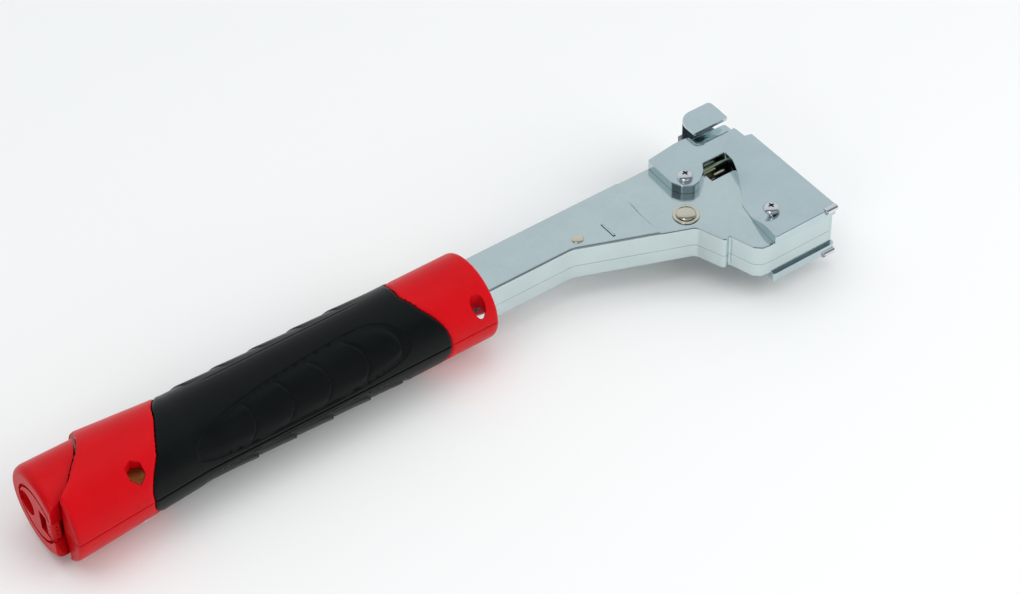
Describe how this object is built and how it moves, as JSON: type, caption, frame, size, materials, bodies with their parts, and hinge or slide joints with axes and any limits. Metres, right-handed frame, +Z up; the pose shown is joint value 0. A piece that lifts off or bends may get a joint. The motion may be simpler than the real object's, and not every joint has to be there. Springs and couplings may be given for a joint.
{
  "type": "hammer tacker",
  "caption": "Hammer tacker: red and black grip, folded steel arm, wide plated head with a protruding staple nose and a rear-loading magazine.",
  "frame": {"origin": "under the middle of the tool's bounding box, on the surface the tool lies on", "axes": "+X from the butt of the handle to the front of the head, +Y the way the nose strikes, +Z up, square to the flat sides of the arm"},
  "size_m": [0.294, 0.0691, 0.0358],
  "materials": {
    "zinc_sheet": "bright zinc plated pressed sheet",
    "zinc_cover": "bright zinc plated pressed sheet",
    "bright_screws": "bright plated",
    "nickel_rivet": "warm nickel plated",
    "dark_steel": "hardened and oiled",
    "magazine_steel": "plated, satin",
    "spring_steel": "bright drawn wire",
    "brass_nut": "yellow passivated, dull",
    "red_plastic": "moulded, semi gloss",
    "black_rubber": "soft overmoulded rubber, satin"
  },
  "bodies": {
    "frame": {"arm_shell_upper": "zinc_sheet", "arm_shell_lower": "zinc_sheet", "head_cover_upper": "zinc_cover", "head_cover_lower": "zinc_cover", "head_front_plate": "zinc_cover", "cover_screws": "bright_screws", "rivet_rings": "nickel_rivet", "frame_rivet": "nickel_rivet", "arm_rivets": "nickel_rivet", "driver_block": "dark_steel", "driver_blade": "dark_steel", "pivot_pins": "magazine_steel", "return_spring": "spring_steel", "handle_bolts": "bright_screws", "handle_nut": "brass_nut", "handle_core_upper": "red_plastic", "handle_core_lower": "red_plastic", "grip_upper": "black_rubber", "grip_lower": "black_rubber"},
    "magazine": {"magazine_channel": "magazine_steel", "nose_guide": "dark_steel", "nose_shoe": "zinc_cover", "spring_seat": "nickel_rivet"},
    "loader": {"loader_rail": "magazine_steel", "guide_rod": "magazine_steel", "feed_spring": "spring_steel", "loader_knob": "red_plastic", "loader_pins": "magazine_steel"},
    "follower": {"staple_follower": "magazine_steel"},
    "catch": {"release_catch": "red_plastic"}
  },
  "joints": [
    {"name": "strike_swing", "type": "hinge", "parent": "frame", "child": "magazine", "pos_m": [-0.104, 0.018, 0.0179], "axis": [0, 0, 1], "range_deg": [-1.35, 0], "stiffness_Nm_per_rad": 20, "springref_deg": 2.29, "deforming": ["return_spring"]},
    {"name": "loader_slide", "type": "slide", "parent": "magazine", "child": "loader", "axis": [1, 0, 0], "range_m": [-0.2, 0]},
    {"name": "follower_slide", "type": "slide", "parent": "loader", "child": "follower", "axis": [1, 0, 0], "range_m": [-0.09, 0], "stiffness_N_per_m": 20, "springref_m": 0.1, "deforming": ["feed_spring"]},
    {"name": "catch_swing", "type": "hinge", "parent": "loader", "child": "catch", "pos_m": [-0.1396, 0.0122, 0.0179], "axis": [0, 0, 1], "range_deg": [-10, 0], "stiffness_Nm_per_rad": 0.05, "springref_deg": 5.73}
  ]
}
